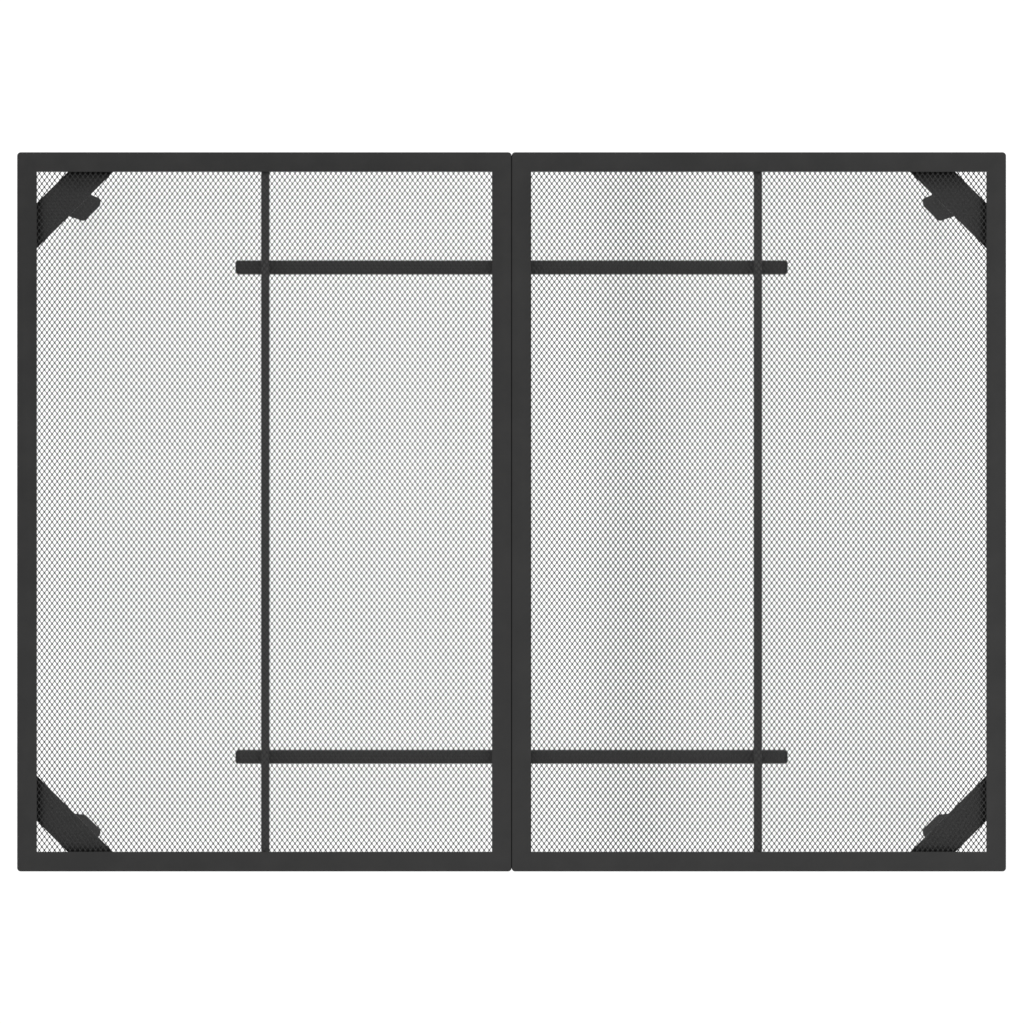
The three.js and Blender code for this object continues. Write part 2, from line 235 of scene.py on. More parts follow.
def wear_group():
    """Where a coat has worn down: on sharp edges, broken up into short stretches."""
    tree, start, end = new_group(
        "edge_wear",
        [("Vector", "Vector", None), ("Amount", "Float", 0.5)],
        [("Mask", "Float")],
    )
    bend = add_node(tree, "NewGeometry").outputs["Pointiness"]
    edges = spread(tree, bend, 0.53, 0.62, 0.0, 1.0)
    specks = noise(tree, start.outputs["Vector"], 160.0, detail=5.0)
    stretches = spread(tree, specks, 0.48, 0.62, 0.0, 1.0)
    broken = math_node(tree, "MULTIPLY", edges, stretches)
    worn = math_node(tree, "MULTIPLY", broken, start.outputs["Amount"])
    tree.links.new(worn, end.inputs["Mask"])
    return tree


def dust_group():
    """Fine dust that has settled on surfaces that face up, thicker in some patches than in others."""
    tree, start, end = new_group(
        "settled_dust",
        [("Vector", "Vector", None), ("Amount", "Float", 0.1)],
        [("Mask", "Float")],
    )
    normal = add_node(tree, "NewGeometry").outputs["Normal"]
    upward = add_node(tree, "SeparateXYZ", {"Vector": normal}).outputs["Z"]
    flat = spread(tree, upward, 0.5, 1.0, 0.0, 1.0)
    cloud = noise(tree, start.outputs["Vector"], 30.0, detail=6.0, roughness=0.65)
    patches = spread(tree, cloud, 0.4, 0.7, 0.2, 1.0)
    settled = math_node(tree, "MULTIPLY", flat, patches)
    dusty = math_node(tree, "MULTIPLY", settled, start.outputs["Amount"])
    tree.links.new(dusty, end.inputs["Mask"])
    return tree


def corner_shade_group():
    """Painted shadow on the plates beside the frame's hanging leaves, where their shade falls: the plates
    are drawn darker there.
    """
    tree, start, end = new_group(
        "painted_corner_shadow",
        [("Vector", "Vector", None), ("Reach", "Float", 0.01)],
        [("Mask", "Float")],
    )
    place = add_node(tree, "SeparateXYZ", {"Vector": start.outputs["Vector"]})
    shadows = []
    for axis, half in (("X", TOP_CORNER.x), ("Y", TOP_CORNER.y)):
        distance = math_node(tree, "ABSOLUTE", place.outputs[axis], 0.0)
        beyond = math_node(tree, "SUBTRACT", distance, half - LEAF)
        inward = math_node(tree, "DIVIDE", beyond, start.outputs["Reach"])
        shadows.append(spread(tree, inward, -1.0, 0.0, 0.0, 1.0))
    tree.links.new(math_node(tree, "MAXIMUM", *shadows), end.inputs["Mask"])
    return tree


def seam_group():
    """Painted shade down in the groove where the two panels meet."""
    tree, start, end = new_group(
        "painted_seam_shade",
        [("Vector", "Vector", None), ("Half Width", "Float", 0.0006)],
        [("Mask", "Float")],
    )
    place = add_node(tree, "SeparateXYZ", {"Vector": start.outputs["Vector"]})
    distance = math_node(tree, "ABSOLUTE", place.outputs["X"], 0.0)
    share = math_node(tree, "DIVIDE", distance, start.outputs["Half Width"])
    tree.links.new(spread(tree, share, 0.6, 1.4, 1.0, 0.0), end.inputs["Mask"])
    return tree


SKIN_AND_PAINTED_LIGHT = coating_group()
SEAM_SHADE = seam_group()
CORNER_SHADE = corner_shade_group()
EDGE_WEAR = wear_group()
SETTLED_DUST = dust_group()


def place_group(tree, group, inputs):
    """Places a node group, with its inputs fed, and gives its outputs."""
    return add_node(tree, "Group", inputs, node_tree=group).outputs


# ---- Materials ----


MIX_FACTOR, MIX_FIRST, MIX_SECOND, MIX_RESULT = 0, 6, 7, 2  # a Mix node's sockets for colours


def mix_colors(tree, mask, first, second):
    made = add_node(tree, "Mix", {MIX_FACTOR: mask, MIX_FIRST: first, MIX_SECOND: second}, data_type="RGBA")
    return made.outputs[MIX_RESULT]


def grey(value, warmth=0.0):
    return (value * (1 + warmth), value, value * (1 - warmth), 1.0)


PAINTED_SHADOW_TONE = 0.22  # how light the painted shadow beside the hanging leaves is, against the dark grey of the full coat
SEAM_SHADE_TONE = 0.3  # and how light the painted shade in the seam groove is
WORN_GREY = grey(0.11, 0.02)
DUST_GREY = grey(0.2, 0.06)
GLOSS_CHANGE = 0.05  # to either side of a finish's roughness
SKIN_DEPTH = 0.15 * MM


def coated(
    name, dark, light, roughness, grains, bump,
    wear=0.0, dust=0.0, metallic=0.0, specular=0.08, thin=0.0, seam=0.0,
):
    """A finish with a fine skin, mottled between two greys and painted lighter towards the front right,
    worn at its edges and lightly dusty.

    A painted shadow darkens it beside the frame's hanging leaves, as far as the shadow reach says, and seam
    is how far painted shade reaches from the middle of the seam.
    """
    material = bpy.data.materials.new(name)
    material.use_nodes = True
    tree = material.node_tree
    tree.nodes.clear()
    vector = add_node(tree, "TexCoord").outputs["Object"]
    skin = place_group(tree, SKIN_AND_PAINTED_LIGHT, {"Vector": vector, "Grains Per Metre": grains})
    # The mottle and the painted light both move the colour between the two greys.
    color = mix_colors(tree, skin["Mottle And Painted Light"], grey(dark), grey(light))
    # Painted shadow: darker beside the frame's hanging leaves, where their shade falls.
    if thin:
        shaded = place_group(tree, CORNER_SHADE, {"Vector": vector, "Reach": thin})["Mask"]
        color = mix_colors(tree, shaded, color, grey(dark * PAINTED_SHADOW_TONE))
    # Painted shade: darker down in the seam groove between the two panels.
    if seam:
        seam_shaded = place_group(tree, SEAM_SHADE, {"Vector": vector, "Half Width": seam})["Mask"]
        color = mix_colors(tree, seam_shaded, color, grey(dark * SEAM_SHADE_TONE))
    if wear:
        worn = place_group(tree, EDGE_WEAR, {"Vector": vector, "Amount": wear})["Mask"]
        color = mix_colors(tree, worn, color, WORN_GREY)
    if dust:
        dusty = place_group(tree, SETTLED_DUST, {"Vector": vector, "Amount": dust})["Mask"]
        color = mix_colors(tree, dusty, color, DUST_GREY)
    patches = skin["Gloss Patches"]
    rough = spread(tree, patches, 0.0, 1.0, roughness - GLOSS_CHANGE, roughness + GLOSS_CHANGE)
    raised = add_node(tree, "Bump", {"Height": skin["Height"], "Strength": bump, "Distance": SKIN_DEPTH})
    shader = add_node(
        tree, "BsdfPrincipled",
        {
            "Base Color": color, "Roughness": rough, "Metallic": metallic,
            "Specular IOR Level": specular, "Normal": raised.outputs["Normal"],
        },
    )
    output = tree.nodes.new("ShaderNodeOutputMaterial")
    tree.links.new(shader.outputs["BSDF"], output.inputs["Surface"])
    return material


# Every coat below is painted lighter towards the front right, as painted light; the frame's coat also has
# painted shade down the seam.
POWDER_COAT = coated("powder_coat", 0.026, 0.040, 0.6, 1100.0, 0.35, wear=0.12, dust=0.03, seam=0.6 * MM)
# The bar and plate coats are lighter copies of the frame's coat: painted light that makes up for the shade
# the expanded metal casts on them. The plates also have a painted shadow beside the hanging leaves.
BAR_COAT_PAINTED_LIGHTER = coated("bar_powder_coat", 0.058, 0.078, 0.6, 1100.0, 0.35, wear=0.12, dust=0.03)
PLATE_COAT_PAINTED_LIGHT_AND_SHADOW = coated("plate_powder_coat_painted_light_and_shadow", 0.066, 0.086, 0.6, 1100.0, 0.35, wear=0.12, dust=0.03, thin=6 * MM)
LEG_COAT = coated("leg_powder_coat", 0.042, 0.056, 0.75, 1100.0, 0.4, dust=0.02, specular=0.0)
MESH_COATING = coated("mesh_coating", 0.032, 0.042, 0.6, 1500.0, 0.25, dust=0.03)
BLACK_PLASTIC = coated("black_plastic", 0.045, 0.06, 0.65, 2600.0, 0.5, dust=0.04)
DARK_STEEL = coated("dark_steel", 0.05, 0.075, 0.38, 500.0, 0.12, wear=0.4, metallic=0.85, specular=0.5)


# ---- Modelling by hand ----


def select_only(piece):
    bpy.ops.object.select_all(action="DESELECT")
    piece.select_set(True)
    bpy.context.view_layer.objects.active = piece


def settle(name):
    """Names the new piece and puts its place, turn and size in its mesh."""
    piece = bpy.context.active_object
    piece.name = name
    piece.data.name = name
    bpy.ops.object.transform_apply(location=True, rotation=True, scale=True)
    return piece


@contextmanager
def editing(piece):
    select_only(piece)
    bpy.ops.object.mode_set(mode="EDIT")
    yield
    bpy.ops.object.mode_set(mode="OBJECT")


def pick(piece, kind, test):
    """In edit mode, selects the VERT, EDGE or FACE items that pass a test, and nothing else."""
    bpy.ops.mesh.select_mode(type=kind)
    bpy.ops.mesh.select_all(action="DESELECT")
    mesh = bmesh.from_edit_mesh(piece.data)
    items = {"VERT": mesh.verts, "EDGE": mesh.edges, "FACE": mesh.faces}[kind]
    mesh.normal_update()
    for item in items:
        if test(item):
            item.select_set(True)
    mesh.select_flush_mode()
    bmesh.update_edit_mesh(piece.data)


def everything(item):
    return True


def along(axis):
    """A test for edges that run along an axis."""
    return lambda edge: abs((edge.verts[0].co - edge.verts[1].co).normalized()[axis]) > 0.99


def facing(direction):
    """A test for faces that look a given way."""
    wanted = Vector(direction).normalized()
    return lambda face: face.normal.dot(wanted) > 0.99


def centred_on(point):
    """A test for the edge whose middle is at a point."""
    return lambda edge: ((edge.verts[0].co + edge.verts[1].co) / 2 - point).length < 0.01 * MM


def both_ends(test):
    """A test for edges from one for points."""
    return lambda edge: all(test(vertex.co) for vertex in edge.verts)


def modify(piece, kind, **settings):
    """Adds a modifier and applies it."""
    select_only(piece)
    modifier = piece.modifiers.new(kind.lower(), kind)
    for key, value in settings.items():
        setattr(modifier, key, value)
    bpy.ops.object.modifier_apply(modifier=modifier.name)


def soften(piece, width=SOFT_EDGE, segments=2):
    """Rounds every sharp edge as its coating does, and shades the curved stretches smooth."""
    modify(
        piece, "BEVEL", width=width, segments=segments, limit_method="ANGLE",
        angle_limit=SHARP, use_clamp_overlap=True,
    )
    select_only(piece)
    bpy.ops.object.shade_smooth_by_angle(angle=SMOOTH)


def thicken(piece, wall):
    """Gives a shell its wall, on the side its faces look away from."""
    modify(piece, "SOLIDIFY", thickness=wall, offset=-1.0, use_even_offset=True)


def block(name, low, high):
    low, high = Vector(low), Vector(high)
    bpy.ops.mesh.primitive_cube_add(size=1, location=(low + high) / 2)
    bpy.context.active_object.scale = high - low
    return settle(name)


def oval(name, short, long, height):
    """A flat face with round ends, short along X."""
    bpy.ops.mesh.primitive_plane_add(size=1, location=(0, 0, height))
    bpy.context.active_object.scale = (short, long, 1)
    piece = settle(name)
    with editing(piece):
        pick(piece, "VERT", everything)
        almost_half = short / 2 * 0.999  # so that two rounded corners don't cross
        bpy.ops.mesh.bevel(offset=almost_half, segments=12, affect="VERTICES")
        pick(piece, "VERT", everything)
        bpy.ops.mesh.remove_doubles(threshold=0.03 * MM)
    return piece


def join(piece, others):
    """One piece from several that are welded together."""
    select_only(piece)
    for other in others:
        other.select_set(True)
    bpy.ops.object.join()
    return piece


def copied(piece, name, matrix):
    """A copy with its own mesh, moved within that mesh."""
    twin = piece.copy()
    twin.data = piece.data.copy()
    twin.data.transform(matrix)
    twin.name = name
    twin.data.name = name
    bpy.context.collection.objects.link(twin)
    return twin


def cut(piece, cutter, operation):
    """Keeps what two shapes share, or what the second leaves of the first, and drops the second."""
    modify(piece, "BOOLEAN", object=cutter, operation=operation, solver="EXACT")
    bpy.data.objects.remove(cutter)


def weld_bead(name, path, radius, closed=False):
    """A bead laid along a path, with the ripples of one pool of metal after another."""
    step = 0.7 * MM
    corners = [Vector(point) for point in path]
    if closed:
        corners.append(corners[0])
    points = []
    for start, end in zip(corners, corners[1:]):
        count = max(1, round((end - start).length / step))
        points += [start.lerp(end, index / count) for index in range(count)]
    if not closed:
        points.append(corners[-1])
    curve = bpy.data.curves.new(name, "CURVE")
    curve.dimensions = "3D"
    curve.bevel_depth = radius
    curve.bevel_resolution = 1
    curve.use_fill_caps = not closed
    line = curve.splines.new("POLY")
    line.points.add(len(points) - 1)
    line.use_cyclic_u = closed
    for index, point in enumerate(points):
        line.points[index].co = (*point, 1.0)
        ripple = 0.09 * math.cos(index * math.pi)
        swell = 0.08 * math.sin(index * 0.37)
        line.points[index].radius = 1.0 + ripple + swell
    bead = bpy.data.objects.new(name, curve)
    bpy.context.collection.objects.link(bead)
    select_only(bead)
    bpy.ops.object.convert(target="MESH")
    bead = bpy.context.active_object
    with editing(bead):
        bpy.ops.mesh.select_all(action="SELECT")
        bpy.ops.mesh.remove_doubles(threshold=0.01 * MM)
        bpy.ops.mesh.normals_make_consistent(inside=False)
    bpy.ops.object.shade_smooth()
    return bead


def finish_piece(piece, material, slot, *nodes):
    """Gives a piece its finish, and puts it in place of its nodes."""
    piece.name = f"{piece.name.split('.')[0]}_visual"
    piece.data.name = piece.name
    piece.data.materials.clear()
    piece.data.materials.append(material)
    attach(piece, "root")
    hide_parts(*nodes)
    return piece


# ---- Top panels ----


def panel_frame(side):
    """Four mitred lengths of angle, welded and ground flush: a flat leaf with a hanging one outside it."""
    nodes = [f"{side}_panel_{bar}" for bar in PANEL_BARS]
    boxes = [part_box(node) for node in nodes]
    low = Vector(min(box[0][axis] for box in boxes) for axis in range(3))
    high = Vector(max(box[1][axis] for box in boxes) for axis in range(3))
    if side == "left":
        high.x = 0.0  # the two seam bolts pull the panels together
    else:
        low.x = 0.0
    leaf = Vector((LEAF, LEAF, 0))
    drop = Vector((0, 0, high.z - low.z))
    frame_piece = block(f"{side}_panel_frame", low, high)
    with editing(frame_piece):
        pick(frame_piece, "EDGE", along(2))
        bpy.ops.mesh.bevel(offset=FRAME_CORNER, segments=6, affect="EDGES")
        pick(frame_piece, "FACE", facing((0, 0, -1)))
        bpy.ops.mesh.delete(type="FACE")
    thicken(frame_piece, LEAF_WALL)
    with editing(frame_piece):
        pick(frame_piece, "EDGE", both_ends(lambda point: point.z > high.z - 0.1 * MM))
        bpy.ops.mesh.bevel(offset=FRAME_BEND, segments=4, affect="EDGES")
    cut(frame_piece, block("opening", low + leaf - drop, high - leaf + drop), "DIFFERENCE")
    soften(frame_piece)
    join(frame_piece, panel_welds(side, low, high))
    return finish_piece(frame_piece, POWDER_COAT, "powder_coat", *nodes)


def panel_welds(side, low, high):
    """Beads up the inside corners, and the spots that hold the expanded metal under the flat leaf."""
    welds = []
    inside = LEAF_WALL + 0.6 * MM
    for x in (low.x + inside, high.x - inside):
        for y in (low.y + inside, high.y - inside):
            path = [(x, y, low.z + 1 * MM), (x, y, high.z - LEAF_WALL)]
            welds.append(weld_bead(f"{side}_corner_weld", path, FRAME_WELD))
    spot = weld_spot(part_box(f"{side}_panel_mesh")[0].z)
    lap = LEAF * 0.62  # from the outside edge to the row of spots
    columns, rows = SPOT_WELDS
    for index in range(columns):
        x = low.x + lap + (high.x - low.x - 2 * lap) * index / (columns - 1)
        for y in (low.y + lap, high.y - lap):
            welds.append(copied(spot, "spot_weld", Matrix.Translation((x, y, 0))))
    for index in range(1, rows - 1):
        y = low.y + lap + (high.y - low.y - 2 * lap) * index / (rows - 1)
        for x in (low.x + lap, high.x - lap):
            welds.append(copied(spot, "spot_weld", Matrix.Translation((x, y, 0))))
    bpy.data.objects.remove(spot)
    return welds


def weld_spot(height):
    """A low nugget of weld metal on the underside of the expanded metal."""
    radius, depth = SPOT_WELD
    bpy.ops.mesh.primitive_cylinder_add(vertices=12, radius=radius, depth=depth, location=(0, 0, height))
    spot = settle("spot_weld")
    with editing(spot):
        pick(spot, "FACE", facing((0, 0, -1)))
        bpy.ops.mesh.bevel(offset=0.6 * MM, segments=3, affect="EDGES")
    select_only(spot)
    bpy.ops.object.shade_smooth_by_angle(angle=SHARP)
    return spot


# ---- Expanded metal ----


def mesh_cell():
    """One step of the pattern, still flat: two bonds, each with four half strands that taper from it."""
    bpy.ops.mesh.primitive_circle_add(vertices=4, radius=0.5, fill_type="NGON")
    bpy.context.active_object.scale = (BOND[0], BOND[1], 1)
    cell = settle("expanded_metal")
    reach = Vector((MESH_STEP[0] / 4, MESH_STEP[1] / 4, 0))
    root = Vector((BOND[0] / 4, BOND[1] / 4, 0))
    narrowing = STRAND / math.hypot(BOND[0] / 2, BOND[1] / 2)
    with editing(cell):
        for x, y in ((1, 1), (-1, 1), (-1, -1), (1, -1)):
            way = Vector((x, y, 0))
            start, end = root * way, reach * way
            pick(cell, "EDGE", centred_on(start))
            bpy.ops.mesh.extrude_region_move(TRANSFORM_OT_translate={"value": end - start})
            bpy.ops.transform.resize(value=(narrowing, narrowing, 1), center_override=end)
        bpy.ops.mesh.select_all(action="SELECT")
        step = (MESH_STEP[0] / 2, MESH_STEP[1] / 2, 0)
        bpy.ops.mesh.duplicate_move(TRANSFORM_OT_translate={"value": step})
        bpy.ops.mesh.select_all(action="SELECT")
        bpy.ops.mesh.remove_doubles(threshold=0.01 * MM)
    return cell


def expanded_metal():
    """Both sheets, each in blocks of rows, with a bond at the middle of each panel."""
    rows = math.ceil(MESH_COUNT[1] / MESH_BLOCKS)
    for number in range(MESH_BLOCKS):
        first = number * rows
        count = min(rows, MESH_COUNT[1] - first)
        block_of_rows = mesh_cell()
        for axis, repeats in ((0, MESH_COUNT[0]), (1, count)):
            shift = [0, 0, 0]
            shift[axis] = MESH_STEP[axis]
            modify(
                block_of_rows, "ARRAY", count=repeats, use_relative_offset=False, use_constant_offset=True,
                constant_offset_displace=shift, use_merge_vertices=True, merge_threshold=0.02 * MM,
            )
        thicken(block_of_rows, MESH_THICKNESS)
        select_only(block_of_rows)
        bpy.ops.object.shade_smooth()
        for side in SIDES:
            corner = middle(f"{side}_panel_mesh")
            corner.x -= (MESH_COUNT[0] - 1) / 2 * MESH_STEP[0]
            corner.y += (first - (MESH_COUNT[1] - 1) / 2) * MESH_STEP[1]
            corner.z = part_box(f"{side}_panel_mesh")[1].z
            name = f"{side}_panel_mesh_rows_{number + 1}"
            sheet = copied(block_of_rows, name, Matrix.Translation(corner))
            if side == "right":
                widen_strands(sheet)
            finish_piece(sheet, MESH_COATING, "mesh_coating", f"{side}_panel_mesh")
        bpy.data.objects.remove(block_of_rows)


def widen_strands(sheet):
    """The right sheet was stretched a little less, and least of all along its heavy band."""
    most = RIGHT_SHEET_GAIN + HEAVY_BAND_GAIN
    strands = sheet.vertex_groups.new(name="stretched_less")
    columns = {}
    for vertex in sheet.data.vertices:
        columns.setdefault(round(vertex.co.x / MM), []).append(vertex.index)
    for column, members in columns.items():
        away = (column * MM - HEAVY_BAND_X) / HEAVY_BAND_SPREAD
        gain = RIGHT_SHEET_GAIN + HEAVY_BAND_GAIN * math.exp(-away * away / 2)
        strands.add(members, gain / most, "REPLACE")
    modify(
        sheet, "DISPLACE", strength=most, mid_level=0.0,
        direction="NORMAL", vertex_group=strands.name,
    )
    low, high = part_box("right_panel_mesh")
    for vertex in sheet.data.vertices:  # wider, but no thicker
        vertex.co.z = high.z if vertex.co.z > (low.z + high.z) / 2 else low.z


# ---- Bars under the panels ----


def square_tube(name, axis, corner):
    """A rectangular tube along an axis, in the box of its node, open at both ends."""
    low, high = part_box(name)
    piece = block(name, low, high)
    with editing(piece):
        pick(piece, "EDGE", along(axis))
        bpy.ops.mesh.bevel(offset=corner, segments=5, affect="EDGES")
        pick(piece, "FACE", lambda face: abs(face.normal[axis]) > 0.99)
        bpy.ops.mesh.delete(type="FACE")
    thicken(piece, TUBE_WALL)
    soften(piece, width=0.25 * MM)
    return piece


def mid_bar(side):
    """The bar under a panel's mesh, welded to both rails."""
    name = f"{side}_panel_mid_bar"
    bar = square_tube(name, 1, MID_BAR_CORNER)
    low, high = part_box(name)
    beads = []
    for x in (low.x, high.x):
        for y in (low.y, high.y):
            path = [(x, y, low.z + 1 * MM), (x, y, high.z - 1 * MM)]
            beads.append(weld_bead(f"{name}_weld", path, MID_BAR_WELD))
    join(bar, beads)
    finish_piece(bar, BAR_COAT_PAINTED_LIGHTER, "powder_coat", name)


def tie_plug(name, outward):
    """A moulded plug: a flange with rounded edges, and a body that sits inside the tube."""
    low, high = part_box(name)
    tip, root = (high.x, low.x) if outward > 0 else (low.x, high.x)
    seat = tip - outward * PLUG_FLANGE
    piece = block(name, (min(seat, tip), low.y, low.z), (max(seat, tip), high.y, high.z))
    with editing(piece):
        pick(piece, "EDGE", along(0))
        bpy.ops.mesh.bevel(offset=TIE_BAR_CORNER, segments=5, affect="EDGES")
        pick(piece, "FACE", facing((-outward, 0, 0)))
        bpy.ops.mesh.inset(thickness=TUBE_WALL + PLUG_PLAY)
        bpy.ops.mesh.extrude_region_move(TRANSFORM_OT_translate={"value": (root - seat, 0, 0)})
        pick(piece, "FACE", facing((outward, 0, 0)))
        bpy.ops.mesh.bevel(offset=PLUG_CORNER, segments=5, affect="EDGES")
    soften(piece, width=0.2 * MM)
    finish_piece(piece, BLACK_PLASTIC, "black_plastic", name)


# ---- Corner plates and legs ----


OTHER_HAND = Matrix.Scale(-1, 4, (0, 1, 0))


def to_corners(piece, stem, material, slot, suffix="", handed=False):
    """Copies a corner piece to the four corners, in place of the nodes of the same names.

    A handed piece, such as a leg that leans to one side, is mirrored at two of them.
    """
    for corner, (x, y) in CORNERS.items():
        name = f"{stem}_{corner}{suffix}"
        place = Matrix.Translation((x * CORNER.x, y * CORNER.y, 0))
        turn = Matrix.Rotation(math.atan2(y, x), 4, "Z")
        if handed and x != y:
            twin = copied(piece, name, place @ turn @ OTHER_HAND)
            twin.data.flip_normals()
        else:
            twin = copied(piece, name, place @ turn)
        finish_piece(twin, material, slot, name)
    bpy.data.objects.remove(piece)


def corner_plate():
    """A flat bar across a corner, cut along the two hanging leaves and welded to them from below."""
    low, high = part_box("corner_plate_back_right")
    half = CORNER_PLATE_WIDTH / 2
    reach = 3 * CORNER_PLATE_WIDTH
    plate = block("corner_plate", (-half, -reach, low.z), (half, reach, high.z))
    beads = []
    for way in (-1, 1):
        outward = Vector((1, way, 0)).normalized()
        with editing(plate):
            bpy.ops.mesh.select_all(action="SELECT")
            bpy.ops.mesh.bisect(
                plane_co=outward * PLATE_REACH, plane_no=outward, clear_outer=True, use_fill=True,
            )
        end_run = Vector((-1, way, 0)).normalized()
        end_middle = outward * (PLATE_REACH - 0.4 * MM)
        across = end_middle.x / end_run.x  # back to the plate's own middle line
        centre = end_middle - end_run * across
        half_run = end_run * (half * math.sqrt(2) - 3 * MM)
        ends = [Vector((*(centre + half_run * sign).xy, low.z - 0.2 * MM)) for sign in (-1, 1)]
        beads.append(weld_bead("corner_plate_weld", ends, CORNER_PLATE_WELD))
    soften(plate, width=0.5 * MM, segments=3)
    join(plate, beads)
    to_corners(plate, "corner_plate", PLATE_COAT_PAINTED_LIGHT_AND_SHADOW, "powder_coat")


def leg_plate():
    """The plate on top of a leg, that bolts up to the corner plate."""
    low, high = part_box("leg_plate_back_right")
    half_x, half_y = LEG_PLATE[0] / 2, LEG_PLATE[1] / 2
    plate = block("leg_plate", (-half_x, -half_y, low.z), (half_x, half_y, high.z))
    with editing(plate):
        pick(plate, "EDGE", along(2))
        bpy.ops.mesh.bevel(offset=LEG_PLATE_CORNER, segments=6, affect="EDGES")
    soften(plate, width=0.5 * MM, segments=3)
    to_corners(plate, "leg_plate", LEG_COAT, "powder_coat")


def down_leg(top, bottom):
    """How far a leg's axis moves from one height to a lower one."""
    share = (top - bottom) / LEG_TOP
    return Vector((SPLAY * share, DRIFT * share, bottom - top))


def leg():
    """A flat oval tube, cut level at both ends, with the bead that welds it to its plate."""
    tube = oval("leg", LEG_SHORT, LEG_LONG, LEG_TOP)
    with editing(tube):
        pick(tube, "FACE", everything)
        bpy.ops.mesh.delete(type="ONLY_FACE")
        pick(tube, "EDGE", everything)
        bpy.ops.mesh.extrude_region_move(TRANSFORM_OT_translate={"value": down_leg(LEG_TOP, LEG_BOTTOM)})
        bpy.ops.mesh.select_all(action="SELECT")
        bpy.ops.mesh.normals_make_consistent(inside=False)
    thicken(tube, LEG_WALL)
    soften(tube, width=0.3 * MM)
    radius = LEG_SHORT / 2
    straight = LEG_LONG / 2 - radius
    half_turn = [math.pi * step / 16 for step in range(-8, 9)]
    path = [
        (radius * math.sin(angle), straight + radius * math.cos(angle), LEG_TOP - 0.8 * MM)
        for angle in half_turn
    ]
    path += [(-x, -y, z) for x, y, z in path]
    join(tube, [weld_bead("leg_weld", path, LEG_WELD, closed=True)])
    to_corners(tube, "leg", LEG_COAT, "powder_coat", handed=True)


def foot_cap():
    """A plastic cap: a sole with rounded edges and a shallow recess, and a plug up inside the leg."""
    short, long = LEG_SHORT + 2 * FOOT_LIP, LEG_LONG + 2 * FOOT_LIP
    top = LEG_BOTTOM - 0.3 * MM
    cap = oval("foot_cap", short, long, top)
    with editing(cap):
        pick(cap, "VERT", everything)
        bpy.ops.transform.translate(value=down_leg(LEG_TOP, top) * Vector((1, 1, 0)))
        pick(cap, "FACE", everything)
        bpy.ops.mesh.extrude_region_move(TRANSFORM_OT_translate={"value": down_leg(top, 0)})
        bpy.ops.mesh.select_all(action="SELECT")
        bpy.ops.mesh.normals_make_consistent(inside=False)
        pick(cap, "FACE", facing((0, 0, 1)))
        bpy.ops.mesh.inset(thickness=LEG_WALL + FOOT_LIP + FOOT_PLAY)
        bpy.ops.mesh.extrude_region_move(TRANSFORM_OT_translate={"value": down_leg(top, top + FOOT_DEPTH)})
        pick(cap, "FACE", facing((0, 0, -1)))
        bpy.ops.mesh.bevel(offset=1.2 * MM, segments=4, affect="EDGES")
        pick(cap, "FACE", facing((0, 0, -1)))
        bpy.ops.mesh.inset(thickness=FOOT_RECESS[0])
        bpy.ops.mesh.extrude_region_move(TRANSFORM_OT_translate={"value": (0, 0, FOOT_RECESS[1])})
    soften(cap, width=0.25 * MM)
    to_corners(cap, "foot_cap", BLACK_PLASTIC, "black_plastic", handed=True)


# ---- Fasteners ----


def rod(name, radius, low, high, sides):
    bpy.ops.mesh.primitive_cylinder_add(
        vertices=sides, radius=radius, depth=high - low, location=(0, 0, (low + high) / 2),
    )
    return settle(name)


def threaded(name, length, turns_from):
    """A shank up from z = 0, plain at first and then with the ridges of its thread."""
    shank = rod(name, SHANK_RADIUS, -0.5 * MM, turns_from, 20)
    turns = int((length - turns_from) / THREAD_PITCH)
    with editing(shank):
        pick(shank, "FACE", facing((0, 0, 1)))
        for turn in range(2 * turns):
            bpy.ops.mesh.extrude_region_move(TRANSFORM_OT_translate={"value": (0, 0, THREAD_PITCH / 2)})
            width = THREAD_ROOT if turn % 2 == 0 else 1 / THREAD_ROOT
            height = turns_from + (turn + 1) * THREAD_PITCH / 2
            bpy.ops.transform.resize(value=(width, width, 1), center_override=(0, 0, height))
    return shank


def hex_corner(across):
    return across / 2 / math.cos(math.pi / 6)


def hex_bolt(name, length):
    """Standing on its head at z = 0, shank up, with the corners of its head chamfered underneath."""
    across, height = HEX_HEAD
    corner = hex_corner(across)
    head = rod(name, corner, -height, 0, 6)
    chamfer = rod("chamfer", corner, -height, height, 48)
    with editing(chamfer):
        pick(chamfer, "FACE", facing((0, 0, -1)))
        bpy.ops.transform.resize(value=(0.84, 0.84, 1), center_override=(0, 0, -height))
        pick(chamfer, "EDGE", both_ends(lambda point: point.z > 0))
        bpy.ops.transform.resize(value=(1.7, 1.7, 1), center_override=(0, 0, height))
    cut(head, chamfer, "INTERSECT")
    soften(head, width=0.15 * MM, segments=1)
    return join(head, [threaded(f"{name}_shank", length, PLAIN_SHANK)])


def leg_bolts():
    """Two bolts up through each leg plate, one to either side of the leg."""
    for number, way in ((1, -1), (2, 1)):
        low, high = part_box(f"leg_bolt_back_right_{number}")
        seat = low.z + HEX_HEAD[1]
        bolt = hex_bolt("leg_bolt", high.z - seat)
        bolt.data.transform(Matrix.Translation((0, way * BOLT_REACH, seat)))
        to_corners(bolt, "leg_bolt", DARK_STEEL, "dark_steel", suffix=f"_{number}")


